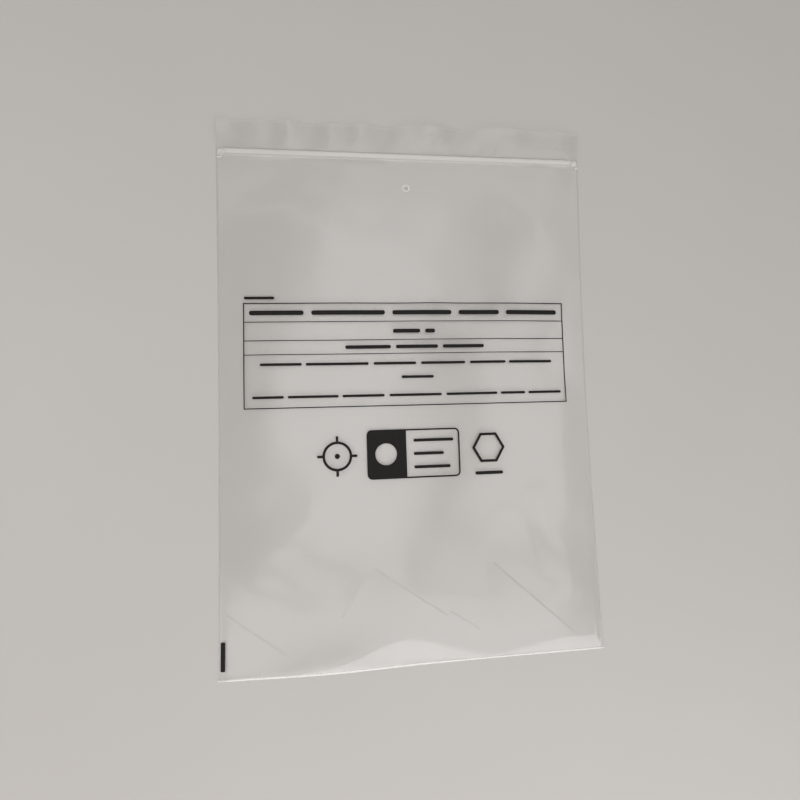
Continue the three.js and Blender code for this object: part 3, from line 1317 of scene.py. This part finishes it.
class InkSketch:
    """Flat ink shapes that are then laid on the front wall as one thin piece."""

    CUT_TOLERANCE = 0.0001

    def __init__(self) -> None:
        """Starts with an empty sketch."""
        self.mesh = bmesh.new()

    def fill(self, loop: Loop) -> None:
        """Adds a filled shape."""
        self.mesh.faces.new([self.mesh.verts.new((x, y, 0)) for x, y in loop])

    def fill_around(self, outer: Loop, hole: Loop) -> None:
        """Adds a filled shape with a hole in it.

        Args:
            outer: Outline of the shape.
            hole: Outline of the hole.
        """
        loops = [[Vector((x, y, 0)) for x, y in loop] for loop in (outer, hole)]
        corners = [self.mesh.verts.new(corner) for loop in loops for corner in loop]
        for triangle in tessellate_polygon(loops):
            facet = self.mesh.faces.new([corners[i] for i in triangle])
            facet.normal_update()
            if facet.normal.z < 0:
                facet.normal_flip()

    def band(self, outer: Loop, inner: Loop) -> None:
        """Adds the band between two outlines of the same number of corners.

        Args:
            outer: Outer outline.
            inner: Inner outline.
        """
        out = [self.mesh.verts.new((x, y, 0)) for x, y in outer]
        within = [self.mesh.verts.new((x, y, 0)) for x, y in inner]
        for i in range(len(out)):
            j = (i + 1) % len(out)
            self.mesh.faces.new((out[i], out[j], within[j], within[i]))

    def split(self, pitch: float) -> None:
        """Cuts the shapes along a square grid, so that they can follow the film.

        Args:
            pitch: Pitch of the grid.
        """
        places = np.array([v.co for v in self.mesh.verts])
        for axis, normal in enumerate((Vector((1, 0, 0)), Vector((0, 1, 0)))):
            low, high = places[:, axis].min(), places[:, axis].max()
            for line in np.arange(math.ceil(low / pitch) * pitch, high, pitch):
                bmesh.ops.bisect_plane(
                    self.mesh,
                    geom=self.mesh.verts[:] + self.mesh.edges[:] + self.mesh.faces[:],
                    dist=self.CUT_TOLERANCE,
                    plane_co=normal * line,
                    plane_no=normal,
                )

    def lay(
        self,
        name: str,
        form: FilmForm,
        lift: float,
        thickness: float,
        pitch: float,
    ) -> bpy.types.Object:
        """Lays the shapes on the front wall.

        Args:
            name: Name of the piece.
            form: Form of the film.
            lift: Height of the underside of the ink above the film.
            thickness: Thickness of the ink.
            pitch: Pitch of the grid that the shapes are cut along.

        Returns:
            The ink as closed thin plates.
        """
        self.split(pitch)
        self.mesh.verts.index_update()
        places = np.array([v.co for v in self.mesh.verts])
        x, y = places[:, 0], places[:, 1]
        under = form.front_outside(x, y) + lift
        corners = np.vstack((form.in_frame(x, y, under), form.in_frame(x, y, under + thickness)))
        count = len(places)
        facets = []
        for facet in self.mesh.faces:
            loop = [v.index for v in facet.verts]
            facets.append([i + count for i in loop])
            facets.append(loop[::-1])
        for edge in self.mesh.edges:
            if edge.is_boundary:
                side = edge.link_loops[0]
                first, end = side.vert.index, side.link_loop_next.vert.index
                facets.append([first, end, end + count, first + count])
        self.mesh.free()
        mesh = bpy.data.meshes.new(name)
        mesh.from_pydata(corners.tolist(), [], facets)
        return new_object(name, mesh)


@dataclass(frozen=True)
class WordRow:
    """Row of plain bars in the place of words: middle height, bar height, and the ends of each bar."""

    middle: float
    height: float
    bars: tuple[Point, ...]


@dataclass
class PrintedPanel:
    """Black print on the front wall: a ruled frame with rows of bars, plain marks and an edge mark."""

    form: FilmForm
    lift: float = 0.04
    thickness: float = 0.03
    pitch: float = 4
    frame_box: Box = Box(-130.6, 199.5, 130.9, 282.3)
    frame_line: float = 0.8
    rules: tuple[float, ...] = (267.2, 252.5, 241.4)
    rule_line: float = 0.6
    bar_rounding: float = 0.45
    rows: tuple[WordRow, ...] = (
        WordRow(286.2, 2.1, ((-129.8, -106.5),)),
        WordRow(274.4, 3.6, ((-126, -84), (-78, -20), (-14, 34), (40, 74), (80, 125))),
        WordRow(259.4, 3.2, ((-14, 8), (12, 20))),
        WordRow(246.8, 2.8, ((-52, -16), (-12, 22), (26, 60))),
        WordRow(233.6, 2.1, ((-118, -86), (-83, -34), (-30, 4), (8, 44), (48, 78), (81, 119))),
        WordRow(222.6, 2.1, ((-8, 18),)),
        WordRow(208.2, 2, ((-124, -100), (-97, -58), (-55, -22), (-18, 24), (28, 70), (73, 94), (97, 126))),
    )
    target_centre: Point = (-60, 161.5)
    target_radius: float = 11.5
    target_line: float = 2
    target_reach: float = 15.5
    panel: Box = Box(-37, 142.5, 37, 181)
    panel_line: float = 1.2
    panel_radius: float = 4
    panel_block: float = 30
    disc_radius: float = 8.5
    panel_bars: tuple[WordRow, ...] = (
        WordRow(172, 2.4, ((0, 32),)),
        WordRow(161.5, 2.4, ((0, 24),)),
        WordRow(151, 2.4, ((0, 29),)),
    )
    nut_centre: Point = (60.5, 164.5)
    nut_radius: float = 13.5
    nut_line: float = 2.4
    nut_sides: int = 6
    caption: Box = Box(49, 143, 72, 145.6)
    caption_radius: float = 1.2
    edge_mark: Box = Box(-148.2, 7.1, -144.9, 27.75)

    def ruled_frame(self) -> InkSketch:
        """Sketches the frame and the rules inside it.

        Returns:
            The sketch.
        """
        sketch = InkSketch()
        inner = self.frame_box.inset(self.frame_line)
        sketch.band(self.frame_box.loop(), inner.loop())
        for rule in self.rules:
            half = self.rule_line / 2
            sketch.fill(Box(inner.left, rule - half, inner.right, rule + half).loop())
        return sketch

    def bars(self, sketch: InkSketch, rows: Iterable[WordRow]) -> None:
        """Adds rows of bars to a sketch.

        Args:
            sketch: Sketch to add them to.
            rows: Rows of bars.
        """
        for row in rows:
            half = row.height / 2
            radii = [self.bar_rounding * row.height] * 4
            for left, right in row.bars:
                sketch.fill(Box(left, row.middle - half, right, row.middle + half).loop(radii))

    def word_bars(self) -> InkSketch:
        """Sketches the rows of bars inside and above the frame.

        Returns:
            The sketch.
        """
        sketch = InkSketch()
        self.bars(sketch, self.rows)
        return sketch

    def target(self, sketch: InkSketch) -> None:
        """Adds a ring with a dot and four strokes, as printers use to line up their plates.

        Args:
            sketch: Sketch to add it to.
        """
        x, y = self.target_centre
        half = self.target_line / 2
        sketch.band(
            circle(self.target_centre, self.target_radius),
            circle(self.target_centre, self.target_radius - self.target_line),
        )
        for side in (-1, 1):
            near, far = sorted((side * self.target_radius, side * self.target_reach))
            sketch.fill(Box(x + near, y - half, x + far, y + half).loop())
            sketch.fill(Box(x - half, y + near, x + half, y + far).loop())
        sketch.fill(circle(self.target_centre, self.target_line))

    def two_tone_panel(self, sketch: InkSketch) -> None:
        """Adds a panel with a dark block around a bare disc on its left and three bars on its right.

        Args:
            sketch: Sketch to add it to.
        """
        radius, line = self.panel_radius, self.panel_line
        split = self.panel.left + self.panel_block
        light = Box(split, self.panel.bottom, self.panel.right, self.panel.top)
        sketch.band(
            light.loop([0, radius, radius, 0]),
            light.inset(line).loop([0, radius - line, radius - line, 0]),
        )
        dark = Box(self.panel.left, self.panel.bottom, split, self.panel.top)
        centre = ((dark.left + dark.right) / 2, (dark.bottom + dark.top) / 2)
        sketch.fill_around(dark.loop([radius, 0, 0, radius]), circle(centre, self.disc_radius))
        self.bars(sketch, self.panel_bars)

    def marks(self) -> InkSketch:
        """Sketches the plain marks under the frame: a target, a two-tone panel and a six-sided ring.

        Returns:
            The sketch.
        """
        sketch = InkSketch()
        self.target(sketch)
        self.two_tone_panel(sketch)
        sketch.band(
            circle(self.nut_centre, self.nut_radius, self.nut_sides),
            circle(self.nut_centre, self.nut_radius - self.nut_line, self.nut_sides),
        )
        sketch.fill(self.caption.loop([self.caption_radius] * 4))
        return sketch

    def side_mark(self) -> InkSketch:
        """Sketches the mark near the lower left corner that a press reads.

        Returns:
            The sketch.
        """
        sketch = InkSketch()
        sketch.fill(self.edge_mark.loop())
        return sketch

    def build(self) -> list[bpy.types.Object]:
        """Lays all the print on the film.

        Returns:
            The printed pieces.
        """
        sketches = {
            "print_frame": self.ruled_frame(),
            "print_words": self.word_bars(),
            "print_marks": self.marks(),
            "print_side_mark": self.side_mark(),
        }
        return [
            sketch.lay(name, self.form, self.lift, self.thickness, self.pitch)
            for name, sketch in sketches.items()
        ]

    def dress(self, pieces: list[bpy.types.Object]) -> None:
        """Gives the print its ink and its place in the frame.

        Args:
            pieces: The printed pieces.
        """
        ink = PrintInk().material()
        for piece in pieces:
            piece.data.materials.append(ink)
            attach(piece, BODY)
            LOG.info("%s: %d facets", piece.name, len(piece.data.polygons))


@dataclass(frozen=True)
class Softbox:
    """Soft lamp: where it stands, where it points, its sides in millimetres and its power in watts."""

    name: str
    at: Place
    towards: Place
    sides: Point
    watts: float

    def build(self) -> bpy.types.Object:
        """Hangs the lamp.

        Returns:
            The lamp's object.
        """
        lamp = bpy.data.lights.new(self.name, "AREA")
        lamp.shape = "RECTANGLE"
        lamp.size, lamp.size_y = (side * MM for side in self.sides)
        lamp.energy = self.watts
        made = bpy.data.objects.new(self.name, lamp)
        made.location = Vector(self.at) * MM
        aim = Vector(self.towards) - Vector(self.at)
        made.rotation_euler = aim.to_track_quat("-Z", "Y").to_euler()
        bpy.context.scene.collection.objects.link(made)
        return made


def ceiling_panel(name: str, above: Point, sides: Point, watts: float) -> Softbox:
    """Soft lamp on the ceiling that points straight down.

    Args:
        name: Name of the lamp.
        above: Place on the table under its middle.
        sides: Its sides.
        watts: Its power.

    Returns:
        The lamp.
    """
    return Softbox(f"ceiling_{name}", (*above, CEILING), (*above, 0), sides, watts)


@dataclass
class Studio:
    """Table, soft lamps and even light from around."""

    table_side: float = 6000
    table_drop: float = 0.15
    fill: float = 0.385
    fill_colour: Colour = (1, 0.985, 0.97)
    lamps: tuple[Softbox, ...] = (
        ceiling_panel("far_left", (-375, 770), (450, 160), 0.11),
        ceiling_panel("far_right", (375, 880), (1050, 360), 0.62),
        ceiling_panel("back_left", (75, 510), (610, 360), 0.6),
        ceiling_panel("back_right", (640, 510), (240, 360), 0.22),
        ceiling_panel("left", (-60, -70), (520, 760), 1.24),
        ceiling_panel("right", (545, -70), (410, 760), 0.9),
        ceiling_panel("front", (20, -765), (1340, 490), 1.85),
        Softbox("window", (250, -1250, 800), (0, -150, 0), (2200, 700), 11.4),
        Softbox("side_window", (-1100, 100, 700), (-100, 0, 0), (900, 500), 3.5),
    )
    light_crossings: int = 64

    def table(self) -> bpy.types.Object:
        """Makes the table top, just under the back wall.

        Returns:
            The table's object.
        """
        half, height = self.table_side / 2 * MM, -self.table_drop * MM
        corners = [(x * half, y * half, height) for x, y in ((-1, -1), (1, -1), (1, 1), (-1, 1))]
        mesh = bpy.data.meshes.new("table")
        mesh.from_pydata(corners, [], [(0, 1, 2, 3)])
        mesh.materials.append(TablePaint().material())
        made = new_object("table", mesh)
        return made

    def build(self) -> None:
        """Sets up the table, the lamps and the light from around."""
        self.table()
        for lamp in self.lamps:
            lamp.build()
        world = bpy.data.worlds.new("studio")
        world.use_nodes = True
        nodes = Nodes(world.node_tree)
        around = nodes.add("ShaderNodeBackground", Color=(*self.fill_colour, 1), Strength=self.fill)
        nodes.add("ShaderNodeOutputWorld", Surface=around.outputs["Background"])
        bpy.context.scene.world = world
        bpy.context.scene.view_settings.view_transform = "Standard"
        bpy.context.scene.cycles.transparent_max_bounces = self.light_crossings


@dataclass(frozen=True)
class Viewpoint:
    """Camera that looks down on the bag from a little to the left."""

    at: Place = (-46.5, -31.2, 344.4)
    ahead: Place = (0.106, 0.0588, -0.9926)
    rightwards: Place = (0.9941, -0.0295, 0.1044)
    focal_length: float = 19.62
    sensor: float = 36

    def build(self) -> bpy.types.Object:
        """Sets up the camera.

        Returns:
            The camera's object.
        """
        lens = bpy.data.cameras.new("viewpoint")
        lens.lens = self.focal_length
        lens.sensor_width = self.sensor
        lens.clip_start = MM
        camera = bpy.data.objects.new("viewpoint", lens)
        back = -Vector(self.ahead).normalized()
        up = back.cross(Vector(self.rightwards)).normalized()
        turn = Matrix((up.cross(back), up, back)).transposed().to_4x4()
        camera.matrix_world = Matrix.Translation(Vector(self.at) * MM) @ turn
        bpy.context.scene.collection.objects.link(camera)
        bpy.context.scene.camera = camera
        return camera


def main() -> None:
    """Builds the bag, dresses it and sets up the studio."""
    logging.basicConfig(level=logging.INFO, format="%(name)s %(message)s")
    Viewpoint().build()
    Studio().build()
    form = FilmForm()
    pouch = FilmPouch(form)
    pouch.dress(pouch.build(), pouch.vent_rim())
    strips = ZipStrips(form)
    strips.dress(strips.build())
    panel = PrintedPanel(form)
    panel.dress(panel.build())


if __name__ == "__main__":
    main()
